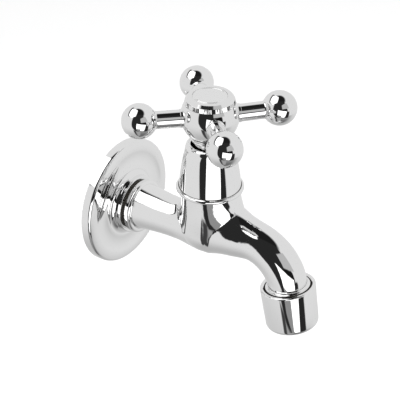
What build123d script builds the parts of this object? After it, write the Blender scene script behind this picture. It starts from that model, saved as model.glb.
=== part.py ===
from build123d import *
from math import cos, radians, sin, sqrt
import os

# A wall-mounted half-inch bib tap with a cross handle, in millimetres.
# The origin is the centre of the wall plane on the inlet's axis. +Z is up, and the tap
# reaches out from the wall along -Y. The valve is drawn closed.

os.makedirs("parts", exist_ok=True)

# Main places
valve_y = 51.5          # wall to the valve's axis
body_top = 22.4         # height of the body's top face, where the headwork seats
arm_z = 60.5            # height where the handle's arms meet the valve's axis
arm_span = 78.4         # across two opposite balls
spout_reach = 42.3      # valve's axis to the centre of the nozzle's rim
nozzle_z = -13.4        # height of the nozzle's rim
nozzle_tilt = 9.7       # degrees that the nozzle leans forward

# Fits
running_gap = 0.05      # radial, between a shaft and its hole
thread_gap = 0.05       # radial, between plain cylinders that stand for a thread's two sides
loose_gap = 0.15        # radial, where one piece drops into another

# Supply tail and barrel
supply_thread_r = 20.955 / 2
tail_length = 12.5      # behind the wall plane
shank_r = 10.9
waterway_r = 6.5
barrel_end_r = 11.4     # next to the end bead
barrel_waist_r = 9.35
barrel_start_y = 12.5
barrel_waist_y = 36.0
barrel_rise = 0.7       # barrel's axis above the thread's axis
barrel_sections = 9
barrel_cove = 5.0
bead_y = 10.0           # wall plane to the end bead
bead_r = 13.0
bead_length = 4.2
bead_land_r = 12.2      # land behind the bead, which bears on the flange
bead_front_round = 0.95
bead_back_chamfer = 0.4
tail_chamfer = 1.0

# Wall flange
flange_r = 30.8
flange_rim = 4.6        # depth of the rolled rim
flange_corner = 1.3
flange_wall = 0.9
flange_band_r = 26.2    # where the outer band meets the dish
flange_depth = 5.3      # wall plane to the band's inner edge
flange_dip = 0.7        # the dish's hollow
flange_cove_r = 16.8    # where the dish meets the neck's cove
flange_neck_r = 14.1
flange_neck_y = 9.6     # wall plane to the neck's front face
flange_lip = 2.1        # length of the raised lip round the neck
flange_lip_step = 0.4   # how far the lip stands out
neck_round = 0.5
flange_hole_r = 11.1

# Valve bowl
bowl_wall = 2.92        # outside the headwork's thread
bowl_z = 3.5            # centre of the bowl's round bottom
bowl_rim = 1.3          # height of the rim round the headwork's seat
chamber_r = 7.5         # round chamber below the seat
chamber_z = 0.5
partition_low = 4.6
partition_high = 7.0
seat_top = 8.0
seat_bore_r = 5.0
seat_lip = 1.2
valve_chamber_r = 9.3
outlet_r = 4.4          # port from the valve chamber to the spout
outlet_start = (4.5, 12.0)  # ahead of the valve axis, and height
outlet_end = (17.5, 4.8)

# Belly, where the barrel and the spout meet below the valve
belly_step = 1.4        # smaller than the bowl
belly_lift = 0.6        # its underside, above the bowl's
belly_length = 4.0      # ahead of the valve's axis before the spout narrows
belly_run = 15.0        # over which the spout's axis rises to its own height

# Spout
spout_step = 1.2        # the spout is this much smaller than the shoulder at its end
spout_taper = 26.0      # length over which it narrows
spout_bend_r = 20.9     # of its centreline
spout_sections = 10
spout_cove = 12.5
spout_wall = 2.8
core_start = 15.5       # valve axis to the centre of the bore's round end
foot_step = 0.7         # the shoulder is this much smaller than the thread below it
foot_cove = 0.8
foot_height = 1.2
boss_r = 11.0           # threaded end inside the nozzle
boss_length = 9.0       # nozzle rim to the boss's end face

# Headwork
headwork_thread_r = 20.955 / 2
headwork_thread_length = 9.7
hex_shoulder = 0.25     # flats outside the thread
hex_height = 5.5
hex_chamfer = 0.6
neck_thread_r = 9.0
headwork_height = 12.7  # body top to the top of the stuffing box, over the washer
headwork_wall = 2.5     # between body thread and the lower cavity
headwork_end_gap = 0.5
seal_thickness = 1.0
seal_width = 1.6
lead_r = 5.0            # spindle's lead thread
lead_pitch = 3.0
turns = 1.625           # from closed to fully open
end_gap = 0.3           # left at the thread's upper stop
journal_r = 4.0
journal_web = 1.5
packing_r = 5.8
packing_height = 3.0
gland_depth = 2.0
gland_af = 12.0
gland_head = 3.0
gland_chamfer = 0.5
spindle_chamfer = 0.5

# Shroud
shroud_seal_height = 0.3
hex_clearance = 0.3     # round the headwork's corners
shroud_foot_wall = 1.2
shroud_bead = 1.6       # how far the bead stands out from the foot
shroud_bead_z = 24.9
shroud_low_step = 0.3   # the cone's low end, out from the foot
shroud_low_z = 25.8
shroud_mid_step = 1.2   # the cone's middle, in from the foot
shroud_mid_z = 37.0
shroud_wall = 1.0
shroud_high_z = 45.0
shroud_top = 47.6
mouth_clearance = 1.1   # round the hub's neck
lip_width = 2.6
lip_crest = 1.1         # the lip's highest ring, out from the mouth
lip_round = 1.0
lip_depth = 1.8
shroud_land = 5.0       # height of its threaded land
land_z = 29.4

# Jumper valve
washer_r = 6.6
washer_height = 2.6
jumper_r = 7.2
jumper_height = 1.8
jumper_lip = 1.0
jumper_stem_r = 2.4
jumper_stem = 7.5
stem_chamfer = 0.4
jumper_stud_r = 1.5
nut_af = 5.5
nut_height = 2.0

# Handle
hub_r = 13.0
hub_z = 60.9
cap_seam_z = 67.4
neck_r = 7.4
neck_ring = 1.2         # how far the ring stands out from the neck, below the ball
neck_top_z = 50.6
neck_ring_height = 1.0
neck_low_z = 48.9
neck_end_z = 40.0
groove_depth = 0.8
groove_height = 0.8
square_side = 6.0
square_z = 43.5         # shoulder that the hub rests on
square_top = 53.5
socket_gap = 0.05
web_top = 54.0
well_r = 6.2
cap_bore_r = 9.8
cap_bore_depth = 2.1
cap_spigot_wall = 1.2
cap_rim_r = 11.35
cap_rim_height = 1.95
cap_top_z = 70.8
cap_wall = 0.9
dome_low_r = 10.95
dome_edge_r = 9.55      # where the sloping flank meets the flat top
dome_edge_z = 70.65
dome_bulge = 0.1        # of the flank, out from a straight cone
serrations = 60
serration_depth = 0.35
disc_r = 7.7
disc_height = 0.7
disc_chamfer = 0.2
ball_r = 7.9
rod_r = 3.95
arm_rise = 1.7          # degrees
collar_r = 4.15
collar_length = 1.5
arm_cove = 1.3
collar_seat = 12.1      # valve axis to the flat that the collar seats on
stud_r = 2.5
stud_length = 5.4
stud_end_gap = 0.3
screw_r = 1.95
screw_length = 8.3
screw_end_gap = 0.7
screw_head_r = 3.5
screw_head = 2.6
screw_chamfer = 0.5
slot_width = 0.9
slot_depth = 1.2
screw_washer_r = 5.2
screw_washer_height = 0.8

# Nozzle and aerator
housing_wall = 1.8
housing_taper = 0.65
housing_length = 20.8
housing_round = 2.5
rim_chamfer = 0.4
rim_bevel = 0.7         # round the housing's top
lip_height = 1.2
mouth_lip = 1.4         # how far the lip reaches under the cartridge
mouth_round = 0.3
cartridge_step = 0.4    # the cartridge is this much smaller than the thread
cartridge_wall = 1.2
aerator_seal = 1.5
aerator_seal_step = 0.9  # seal's hole is this much larger than the bore
ledge = 0.9
ledge_height = 0.8
diffuser_height = 3.3
plate_height = 1.2
diffuser_hole_r = 0.7
diffuser_circles = ((0, 1), (5.2, 4))
screens = 2
screen_height = 0.3
screen_pitch = 0.6
grid_height = 2.5
grid_cell = 3.0
grid_web = 0.5
grid_rings = 7

# Worked out from the values above
nozzle_y = valve_y + spout_reach
bowl_r = headwork_thread_r + bowl_wall
flange_throat_r = flange_neck_r - flange_lip_step
belly_r = bowl_r - belly_step
belly_z = bowl_z - bowl_r + belly_lift + belly_r
headwork_seal_r = headwork_thread_r + seal_width
hex_af = 2 * (headwork_thread_r + hex_shoulder)
shroud_inner_r = hex_af / 2 / cos(radians(30)) + hex_clearance
shroud_foot_r = shroud_inner_r + shroud_foot_wall
shroud_bead_r = shroud_foot_r + shroud_bead
shroud_low_r = shroud_foot_r + shroud_low_step
shroud_mid_r = shroud_foot_r - shroud_mid_step
mouth_r = neck_r + mouth_clearance
shroud_high_r = mouth_r + lip_width
neck_top_r = neck_r + neck_ring
foot_r = boss_r - foot_step
spout_r = foot_r - spout_step
spout_bore_r = spout_r - spout_wall
housing_r = boss_r + housing_wall
housing_low_r = housing_r - housing_taper
cartridge_r = boss_r - cartridge_step
cup_r = cartridge_r - cartridge_wall
mouth_lip_r = cartridge_r - mouth_lip
lift = lead_pitch * turns
washer_top = seat_top + washer_height
jumper_top = washer_top + jumper_height
headwork_base = body_top + seal_thickness
headwork_low = body_top - headwork_thread_length
headwork_top = body_top + headwork_height
hex_top = headwork_base + hex_height
box_floor = headwork_top - gland_depth - packing_height
lead_top = box_floor - journal_web
cavity_top = jumper_top + lift + end_gap
spindle_thread_top = lead_top - lift - end_gap

bowl_top = body_top + bowl_rim
shroud_foot = bowl_top + shroud_seal_height
valve_plane = Plane.XZ.offset(valve_y)
valve_axis = Axis((0, -valve_y, 0), (0, 0, 1))
tilt = radians(nozzle_tilt)
nozzle_down = Vector(0, -sin(tilt), -cos(tilt))
nozzle_centre = Vector(0, -nozzle_y, nozzle_z)
nozzle_plane = Plane(origin=nozzle_centre, x_dir=(1, 0, 0), z_dir=(0, cos(tilt), -sin(tilt)))
nozzle_axis = Axis(nozzle_centre, nozzle_down)


def level(height):
    """A level plane centred on the valve's axis."""
    return Plane(origin=(0, -valve_y, height))


def across_spout(depth):
    """A plane square to the nozzle's axis, this far below its rim, facing down the nozzle."""
    return Plane(origin=nozzle_centre + nozzle_down * depth, x_dir=(1, 0, 0), z_dir=nozzle_down)


def at_wall(distance):
    """A plane parallel to the wall, this far out from it, facing into the room."""
    return Plane.XZ.offset(distance)


def keep(piece, name):
    """Name a finished piece and write it out."""
    piece.part.label = name
    export_step(piece.part, f"parts/{name}.step")


# Body casting
bend_centre_y = nozzle_y - spout_bend_r * cos(tilt)
bend_centre_z = nozzle_z - spout_bend_r * sin(tilt)
spout_z = bend_centre_z + spout_bend_r
core_start_y = valve_y + core_start

with BuildLine(Plane.YZ) as spout_line:
    Line((-valve_y, spout_z), (-bend_centre_y, spout_z))
    TangentArc((-bend_centre_y, spout_z), (-nozzle_y, nozzle_z), tangent=(-1, 0))
with BuildLine(Plane.YZ) as core_line:
    Line((-core_start_y, spout_z), (-bend_centre_y, spout_z))
    TangentArc((-bend_centre_y, spout_z), (-nozzle_y, nozzle_z), tangent=(-1, 0))
    boss_end = nozzle_centre + nozzle_down * (boss_length + 1)
    Line((-nozzle_y, nozzle_z), (boss_end.Y, boss_end.Z))
spout = spout_line.wire()


def ease(share):
    """A smooth way from 0 to 1."""
    share = min(max(share, 0), 1)
    return share ** 2 * (3 - 2 * share)


def barrel_section(distance):
    """Height and radius of the barrel: it narrows to its waist and then swells into the belly."""
    if distance < barrel_waist_y:
        share = (barrel_waist_y - distance) / (barrel_waist_y - barrel_start_y)
        return barrel_rise, barrel_waist_r + (barrel_end_r - barrel_waist_r) * share ** 2
    share = ease((distance - barrel_waist_y) / (valve_y - barrel_waist_y))
    return (
        barrel_rise + (belly_z - barrel_rise) * share,
        barrel_waist_r + (belly_r - barrel_waist_r) * share,
    )


def spout_radius(along):
    """The spout narrows from the belly in an even curve and then keeps its size."""
    share = 1 - min(max(along - belly_length, 0) / spout_taper, 1)
    return spout_r + (belly_r - spout_r) * share ** 2


def spout_drop(along):
    """How far the spout's axis is below its line, near the belly."""
    return (spout_z - belly_z) * (1 - ease(along / belly_run))


def bowl_joint(body, in_front):
    """The edges where the spout, in front, or the barrel, behind, meets the valve bowl."""

    def from_bowl(point):
        drop = min(point.Z - bowl_z, 0)
        return abs(sqrt(point.X ** 2 + (point.Y + valve_y) ** 2 + drop ** 2) - bowl_r)

    joint = []
    for edge in body.edges().filter_by(GeomType.BSPLINE):
        if max(from_bowl(edge @ share) for share in (0, 0.5, 1)) < 0.05:
            if (edge.center().Y < -valve_y) == in_front:
                joint.append(edge)
    return joint


def at_spout_end(edge):
    """Whether an edge is the round end of the spout, on its shoulder."""
    return all(abs((edge @ share - nozzle_centre).length - spout_r) < 0.01 for share in (0, 0.4, 0.7))


with BuildPart() as tap_body:
    # Valve bowl, with a round bottom
    with BuildSketch(valve_plane):
        with BuildLine():
            Line((0, bowl_top), (bowl_r, bowl_top))
            Line((bowl_r, bowl_top), (bowl_r, bowl_z))
            TangentArc((bowl_r, bowl_z), (0, bowl_z - bowl_r), tangent=(0, -1))
            Line((0, bowl_z - bowl_r), (0, bowl_top))
        make_face()
    revolve(axis=valve_axis)

    # Waisted barrel
    for step in range(barrel_sections):
        distance = barrel_start_y + (valve_y - barrel_start_y) * step / (barrel_sections - 1)
        height, radius = barrel_section(distance)
        with BuildSketch(Plane(origin=(0, -distance, height), x_dir=(0, 0, 1), z_dir=(0, -1, 0))):
            Circle(radius)
    loft()

    # Spout, over its run and bend
    for step in range(spout_sections):
        share = step / (spout_sections - 1)
        along = share * spout.length
        ahead = spout % share
        centre = spout @ share - Vector(0, 0, spout_drop(along))
        with BuildSketch(Plane(origin=centre, x_dir=(0, ahead.Z, -ahead.Y), z_dir=ahead)):
            Circle(spout_radius(along))
    loft()

    # Cast coves where they meet the bowl
    fillet(bowl_joint(tap_body, True), spout_cove)
    fillet(bowl_joint(tap_body, False), barrel_cove)

    # End bead, shank through the flange, and the threaded tail
    with BuildSketch(at_wall(bead_y)):
        Circle(bead_r)
    extrude(amount=bead_length)
    bead_edges = tap_body.edges().filter_by(GeomType.CIRCLE)
    bead_edges = bead_edges.filter_by(lambda edge: abs(edge.radius - bead_r) < 0.01).sort_by(Axis.Y)
    fillet(bead_edges[0], bead_front_round)
    chamfer(bead_edges[-1], bead_back_chamfer)
    with BuildSketch(at_wall(flange_neck_y)):
        Circle(bead_land_r)
    extrude(amount=bead_y - flange_neck_y)
    with BuildSketch(at_wall(0)):
        Circle(shank_r)
    extrude(amount=flange_neck_y)
    with BuildSketch(at_wall(-tail_length)):
        Circle(supply_thread_r)
    extrude(amount=tail_length)
    chamfer(tap_body.edges().group_by(Axis.Y)[-1], tail_chamfer)

    # Shoulder at the spout's end, and the threaded boss inside the nozzle
    with BuildSketch(across_spout(0)):
        Circle(foot_r)
    extrude(amount=foot_height)
    fillet(tap_body.edges().filter_by(at_spout_end), foot_cove)
    with BuildSketch(across_spout(foot_height)):
        Circle(boss_r - thread_gap)
    extrude(amount=boss_length - foot_height)

    # Waterway: inlet, chamber below the seat, valve chamber, port and spout
    with BuildSketch(at_wall(-tail_length)):
        Circle(waterway_r)
    extrude(amount=tail_length + valve_y - seat_bore_r, mode=Mode.SUBTRACT)
    with BuildSketch(valve_plane):
        chamber_top_r = sqrt(chamber_r ** 2 - (partition_low - chamber_z) ** 2)
        with BuildLine():
            Line((0, chamber_z - chamber_r), (0, partition_low))
            Line((0, partition_low), (chamber_top_r, partition_low))
            ThreePointArc((chamber_top_r, partition_low), (chamber_r, chamber_z), (0, chamber_z - chamber_r))
        make_face()
    revolve(axis=valve_axis, mode=Mode.SUBTRACT)
    with BuildSketch(level(partition_high)):
        Circle(valve_chamber_r)
    extrude(amount=headwork_low - partition_high, mode=Mode.SUBTRACT)
    with BuildSketch(level(headwork_low - headwork_end_gap)):
        Circle(headwork_thread_r)
    extrude(amount=body_top - headwork_low + headwork_end_gap, mode=Mode.SUBTRACT)
    with BuildSketch(level(body_top)):
        Circle(shroud_inner_r)
    extrude(amount=bowl_rim, mode=Mode.SUBTRACT)
    port_start = Vector(0, -valve_y - outlet_start[0], outlet_start[1])
    port_end = Vector(0, -valve_y - outlet_end[0], outlet_end[1])
    with BuildSketch(Plane(origin=port_start, x_dir=(1, 0, 0), z_dir=port_end - port_start)):
        Circle(outlet_r)
    extrude(amount=(port_end - port_start).length, mode=Mode.SUBTRACT)
    with Locations((0, -core_start_y, spout_z)):
        Sphere(spout_bore_r, mode=Mode.SUBTRACT)
    with BuildSketch(Plane(origin=core_line.line @ 0, x_dir=(1, 0, 0), z_dir=(0, -1, 0))):
        Circle(spout_bore_r)
    sweep(path=core_line.wire(), mode=Mode.SUBTRACT)

    # Valve seat, a raised lip round its bore
    with BuildSketch(level(partition_high)):
        Circle(seat_bore_r + seat_lip)
    extrude(amount=seat_top - partition_high)
    with BuildSketch(level(chamber_z)):
        Circle(seat_bore_r)
    extrude(amount=seat_top - chamber_z, mode=Mode.SUBTRACT)
keep(tap_body, "tap_body")

# Wall flange, a pressed shell with a rolled rim, a shallow dish and a short neck
with BuildPart() as wall_flange:
    with BuildSketch(Plane.XY):
        with BuildLine():
            Line((flange_r, 0), (flange_r, flange_corner - flange_rim))
            TangentArc(
                (flange_r, flange_corner - flange_rim),
                (flange_r - flange_corner, -flange_rim),
                tangent=(0, -1),
            )
            Line((flange_r - flange_corner, -flange_rim), (flange_band_r, -flange_depth))
            ThreePointArc(
                (flange_band_r, -flange_depth),
                ((flange_band_r + flange_cove_r) / 2, flange_dip - flange_depth),
                (flange_cove_r, -flange_depth),
            )
            ThreePointArc(
                (flange_cove_r, -flange_depth),
                (flange_throat_r + 0.9, -flange_depth - 0.6),
                (flange_throat_r, flange_lip - flange_neck_y),
            )
            Polyline(
                (flange_throat_r, flange_lip - flange_neck_y),
                (flange_neck_r, flange_lip - flange_lip_step / 2 - flange_neck_y),
                (flange_neck_r, neck_round - flange_neck_y),
            )
            TangentArc(
                (flange_neck_r, neck_round - flange_neck_y),
                (flange_neck_r - neck_round, -flange_neck_y),
                tangent=(0, -1),
            )
            Polyline(
                (flange_neck_r - neck_round, -flange_neck_y),
                (flange_hole_r, -flange_neck_y),
                (flange_hole_r, flange_wall - flange_neck_y),
                (flange_throat_r - flange_wall, flange_wall - flange_neck_y),
                (flange_throat_r - flange_wall, -flange_depth - 1.6),
                (flange_throat_r + 0.4, -flange_depth + 0.1),
                (flange_cove_r - 0.3, flange_wall - flange_depth),
                ((flange_band_r + flange_cove_r) / 2, flange_wall + flange_dip - flange_depth),
                (flange_band_r, flange_wall - flange_depth),
                (flange_r - flange_corner - flange_wall / 2, flange_wall - flange_rim),
                (flange_r - flange_wall, flange_corner - flange_rim + flange_wall / 2),
                (flange_r - flange_wall, 0),
                (flange_r, 0),
            )
        make_face()
    revolve(axis=Axis.Y)
keep(wall_flange, "wall_flange")

# Headwork: hexagon, body thread below, threaded neck above, and its stepped bore
with BuildPart() as headwork:
    with BuildSketch(level(headwork_low)):
        Circle(headwork_thread_r - thread_gap)
    extrude(amount=headwork_base - headwork_low)
    with BuildSketch(level(headwork_base)):
        RegularPolygon(hex_af / 2, 6, major_radius=False)
    extrude(amount=hex_height)
    chamfer(headwork.edges().group_by(Axis.Z)[-1], hex_chamfer)
    with BuildSketch(level(hex_top)):
        Circle(neck_thread_r)
    extrude(amount=headwork_top - hex_top)
    for radius, low, high in (
        (headwork_thread_r - headwork_wall, headwork_low, cavity_top),
        (lead_r + running_gap, cavity_top, lead_top),
        (journal_r + running_gap, lead_top, box_floor),
        (packing_r, box_floor, headwork_top),
    ):
        with BuildSketch(level(low)):
            Circle(radius)
        extrude(amount=high - low, mode=Mode.SUBTRACT)
keep(headwork, "headwork")


def flat_ring(low, high, inner, outer, name):
    """A level ring or washer on the valve's axis."""
    with BuildPart() as ring:
        with BuildSketch(level(low)):
            Circle(outer)
            Circle(inner, mode=Mode.SUBTRACT)
        extrude(amount=high - low)
    keep(ring, name)


flat_ring(body_top, headwork_base, headwork_thread_r, headwork_seal_r, "headwork_washer")
flat_ring(bowl_top, shroud_foot, shroud_inner_r, bowl_r, "shroud_seal")

# Packing and the gland nut that presses it
packing_top = box_floor + packing_height
flat_ring(box_floor, packing_top, journal_r + running_gap, packing_r - thread_gap, "gland_packing")

with BuildPart() as gland_nut:
    with BuildSketch(level(headwork_top - gland_depth)):
        Circle(packing_r - thread_gap)
    extrude(amount=gland_depth)
    with BuildSketch(level(headwork_top)):
        RegularPolygon(gland_af / 2, 6, major_radius=False)
    extrude(amount=gland_head)
    chamfer(gland_nut.edges().group_by(Axis.Z)[-1], gland_chamfer)
    with BuildSketch(level(headwork_top - gland_depth)):
        Circle(journal_r + running_gap)
    extrude(amount=gland_depth + gland_head, mode=Mode.SUBTRACT)
keep(gland_nut, "gland_nut")

# Shroud: a bell with a bead round its foot, a threaded land inside and a rolled lip
with BuildPart() as shroud:
    with BuildSketch(valve_plane):
        with BuildLine():
            Line((shroud_inner_r, shroud_foot), (shroud_foot_r, shroud_foot))
            ThreePointArc(
                (shroud_foot_r, shroud_foot),
                (shroud_bead_r, shroud_bead_z),
                (shroud_low_r, shroud_low_z),
            )
            Polyline(
                (shroud_low_r, shroud_low_z),
                (shroud_mid_r, shroud_mid_z),
                (shroud_high_r, shroud_high_z),
            )
            ThreePointArc(
                (shroud_high_r, shroud_high_z),
                (shroud_high_r - 0.4, shroud_high_z + 1.5),
                (mouth_r + lip_crest, shroud_top),
            )
            ThreePointArc(
                (mouth_r + lip_crest, shroud_top),
                (mouth_r + 0.3, shroud_top - 0.3),
                (mouth_r, shroud_top - lip_round),
            )
            Polyline(
                (mouth_r, shroud_top - lip_round),
                (mouth_r, shroud_top - lip_depth),
                (shroud_high_r - shroud_wall, shroud_high_z),
                (shroud_mid_r - shroud_wall, shroud_mid_z),
                (shroud_mid_r - shroud_wall, land_z + shroud_land),
                (neck_thread_r + thread_gap, land_z + shroud_land),
                (neck_thread_r + thread_gap, land_z),
                (shroud_inner_r, land_z),
                (shroud_inner_r, shroud_foot),
            )
        make_face()
    revolve(axis=valve_axis)
keep(shroud, "shroud")

# Spindle: lead thread below, round journal through the gland, square above
with BuildPart() as spindle:
    with BuildSketch(level(jumper_top)):
        Circle(lead_r)
    extrude(amount=spindle_thread_top - jumper_top)
    chamfer(spindle.edges().group_by(Axis.Z)[-1], spindle_chamfer)
    with BuildSketch(level(spindle_thread_top - spindle_chamfer)):
        Circle(journal_r)
    extrude(amount=square_z - spindle_thread_top + spindle_chamfer)
    with BuildSketch(level(square_z)):
        Circle(journal_r)
        Rectangle(square_side, square_side, mode=Mode.INTERSECT)
    extrude(amount=square_top - square_z)
    with BuildSketch(level(jumper_top)):
        Circle(jumper_stem_r + running_gap)
    extrude(amount=jumper_stem + 0.5, mode=Mode.SUBTRACT)
    with BuildSketch(level(square_top)):
        Circle(screw_r + thread_gap)
    extrude(amount=-screw_length, mode=Mode.SUBTRACT)
keep(spindle, "spindle")

# Jumper valve: disc with a lip round its washer, stem above and stud below
with BuildPart() as jumper_valve:
    with BuildSketch(level(washer_top - jumper_lip)):
        Circle(jumper_r)
        Circle(washer_r + thread_gap, mode=Mode.SUBTRACT)
    extrude(amount=jumper_lip)
    with BuildSketch(level(washer_top)):
        Circle(jumper_r)
    extrude(amount=jumper_height)
    with BuildSketch(level(jumper_top)):
        Circle(jumper_stem_r)
    extrude(amount=jumper_stem)
    chamfer(jumper_valve.edges().group_by(Axis.Z)[-1], stem_chamfer)
    with BuildSketch(level(washer_top)):
        Circle(jumper_stud_r)
    extrude(amount=-washer_height - nut_height)
keep(jumper_valve, "jumper_valve")

flat_ring(seat_top, washer_top, jumper_stud_r + thread_gap, washer_r, "jumper_washer")

with BuildPart() as washer_nut:
    with BuildSketch(level(seat_top - nut_height)):
        RegularPolygon(nut_af / 2, 6, major_radius=False)
        Circle(jumper_stud_r + thread_gap, mode=Mode.SUBTRACT)
    extrude(amount=nut_height)
keep(washer_nut, "washer_nut")

# Handle hub: a ball with a groove and a neck below, a square socket and a well above
arm_names = {45: "arm_back_right", 135: "arm_back_left", 225: "arm_front_left", 315: "arm_front_right"}


def arm_direction(angle):
    """The way an arm points: outwards, and rising slightly."""
    turn = radians(angle)
    rise = radians(arm_rise)
    return Vector(cos(turn) * cos(rise), sin(turn) * cos(rise), sin(rise))


def along_arm(angle, distance):
    """A plane square to an arm, this far from the valve's axis, facing outwards."""
    outward = arm_direction(angle)
    sideways = Vector(sin(radians(angle)), -cos(radians(angle)), 0)
    return Plane(origin=arm_centre + outward * distance, x_dir=sideways, z_dir=outward)


arm_centre = Vector(0, -valve_y, arm_z)
ball_low_z = neck_top_z + groove_height
hub_low_r = sqrt(hub_r ** 2 - (hub_z - ball_low_z) ** 2)
hub_seam_r = sqrt(hub_r ** 2 - (cap_seam_z - hub_z) ** 2)
with BuildPart() as handle_hub:
    with BuildSketch(valve_plane):
        with BuildLine():
            Line((0, neck_end_z), (neck_r, neck_end_z))
            Polyline(
                (neck_r, neck_end_z),
                (neck_r, neck_low_z),
                (neck_top_r, neck_top_z - neck_ring_height),
                (neck_top_r, neck_top_z),
                (neck_top_r - groove_depth, neck_top_z),
                (neck_top_r - groove_depth, ball_low_z),
                (hub_low_r, ball_low_z),
            )
            ThreePointArc((hub_low_r, ball_low_z), (hub_r, hub_z), (hub_seam_r, cap_seam_z))
            Polyline(
                (hub_seam_r, cap_seam_z),
                (cap_bore_r, cap_seam_z),
                (cap_bore_r, cap_seam_z - cap_bore_depth),
                (well_r, cap_seam_z - cap_bore_depth),
                (well_r, web_top),
                (0, web_top),
                (0, neck_end_z),
            )
        make_face()
    revolve(axis=valve_axis)
    with BuildSketch(level(neck_end_z)):
        Circle(journal_r + loose_gap)
    extrude(amount=square_z - neck_end_z, mode=Mode.SUBTRACT)
    with BuildSketch(level(square_z)):
        Circle(journal_r + socket_gap)
        Rectangle(square_side + 2 * socket_gap, square_side + 2 * socket_gap, mode=Mode.INTERSECT)
    extrude(amount=web_top - square_z, mode=Mode.SUBTRACT)
    for angle in arm_names:
        with BuildSketch(along_arm(angle, collar_seat)):
            Circle(collar_r + thread_gap)
        extrude(amount=collar_length, mode=Mode.SUBTRACT)
        with BuildSketch(along_arm(angle, collar_seat)):
            Circle(stud_r + thread_gap)
        extrude(amount=-stud_length, mode=Mode.SUBTRACT)
keep(handle_hub, "handle_hub")


def make_arm(angle, name):
    """One turned arm: threaded stud, collar, rod and ball."""
    outward = arm_direction(angle)
    sideways = Vector(sin(radians(angle)), -cos(radians(angle)), 0)
    ball_x = arm_span / 2 - ball_r
    cove_x = ball_x - sqrt((ball_r + arm_cove) ** 2 - (rod_r + arm_cove) ** 2)
    cove_share = ball_r / (ball_r + arm_cove)
    cove_end = (ball_x + (cove_x - ball_x) * cove_share, (rod_r + arm_cove) * cove_share)
    collar_end = collar_seat + collar_length
    stud_end = collar_seat - stud_length + stud_end_gap
    with BuildPart() as arm:
        with BuildSketch(Plane(origin=arm_centre, x_dir=outward, z_dir=sideways)):
            with BuildLine():
                Polyline(
                    (stud_end, 0),
                    (stud_end, stud_r),
                    (collar_seat, stud_r),
                    (collar_seat, collar_r),
                    (collar_end, collar_r),
                    (collar_end, rod_r),
                    (cove_x, rod_r),
                )
                TangentArc((cove_x, rod_r), cove_end, tangent=(1, 0))
                ThreePointArc(cove_end, (ball_x, ball_r), (ball_x + ball_r, 0))
                Line((ball_x + ball_r, 0), (stud_end, 0))
            make_face()
        revolve(axis=Axis(arm_centre, outward))
    keep(arm, name)


for angle, name in arm_names.items():
    make_arm(angle, name)

# Screw and washer that hold the hub on the spindle
flat_ring(web_top, web_top + screw_washer_height, screw_r + loose_gap, screw_washer_r, "screw_washer")
head_low = web_top + screw_washer_height
with BuildPart() as handle_screw:
    with BuildSketch(level(head_low)):
        Circle(screw_head_r)
    extrude(amount=screw_head)
    chamfer(handle_screw.edges().group_by(Axis.Z)[-1], screw_chamfer)
    with BuildSketch(level(head_low + screw_head)):
        Rectangle(2 * screw_head_r, slot_width)
    extrude(amount=-slot_depth, mode=Mode.SUBTRACT)
    with BuildSketch(level(head_low)):
        Circle(screw_r)
    extrude(amount=square_top - screw_length + screw_end_gap - head_low)
keep(handle_screw, "handle_screw")

# Index cap: threaded spigot, serrated rim, dome and a recess for the disc
cap_spigot_r = cap_bore_r - thread_gap
dome_low_z = cap_seam_z + cap_rim_height
recess_z = cap_top_z - disc_height
flank_middle = (
    (dome_low_r + dome_edge_r) / 2 + dome_bulge,
    (dome_low_z + dome_edge_z) / 2 + dome_bulge,
)


def serrated(rim_r):
    """The corners of a serrated ring's outline, out and in by turns."""
    corners = []
    for tooth in range(2 * serrations):
        turn = radians(180 * tooth / serrations)
        corner_r = rim_r - serration_depth * (tooth % 2)
        corners.append((corner_r * cos(turn), corner_r * sin(turn)))
    return corners


with BuildPart() as index_cap:
    with BuildSketch(valve_plane):
        with BuildLine():
            Polyline(
                (cap_spigot_r - cap_spigot_wall, cap_seam_z - cap_bore_depth),
                (cap_spigot_r, cap_seam_z - cap_bore_depth),
                (cap_spigot_r, dome_low_z),
                (dome_low_r, dome_low_z),
            )
            ThreePointArc((dome_low_r, dome_low_z), flank_middle, (dome_edge_r, dome_edge_z))
            Polyline(
                (dome_edge_r, dome_edge_z),
                (disc_r + thread_gap, cap_top_z),
                (disc_r + thread_gap, recess_z),
                (0, recess_z),
                (0, recess_z - cap_wall),
                (cap_spigot_r - cap_spigot_wall, recess_z - cap_wall),
                (cap_spigot_r - cap_spigot_wall, cap_seam_z - cap_bore_depth),
            )
        make_face()
    revolve(axis=valve_axis)
    for height, rim_r in ((cap_seam_z, cap_rim_r), (dome_low_z, dome_low_r)):
        with BuildSketch(level(height)):
            with BuildLine():
                Polyline(serrated(rim_r), close=True)
            make_face()
            Circle(cap_spigot_r - 0.1, mode=Mode.SUBTRACT)
    loft(ruled=True)
keep(index_cap, "index_cap")

with BuildPart() as index_disc:
    with BuildSketch(level(recess_z)):
        Circle(disc_r)
    extrude(amount=disc_height)
    chamfer(index_disc.edges().group_by(Axis.Z)[-1], disc_chamfer)
keep(index_disc, "index_disc")

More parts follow.
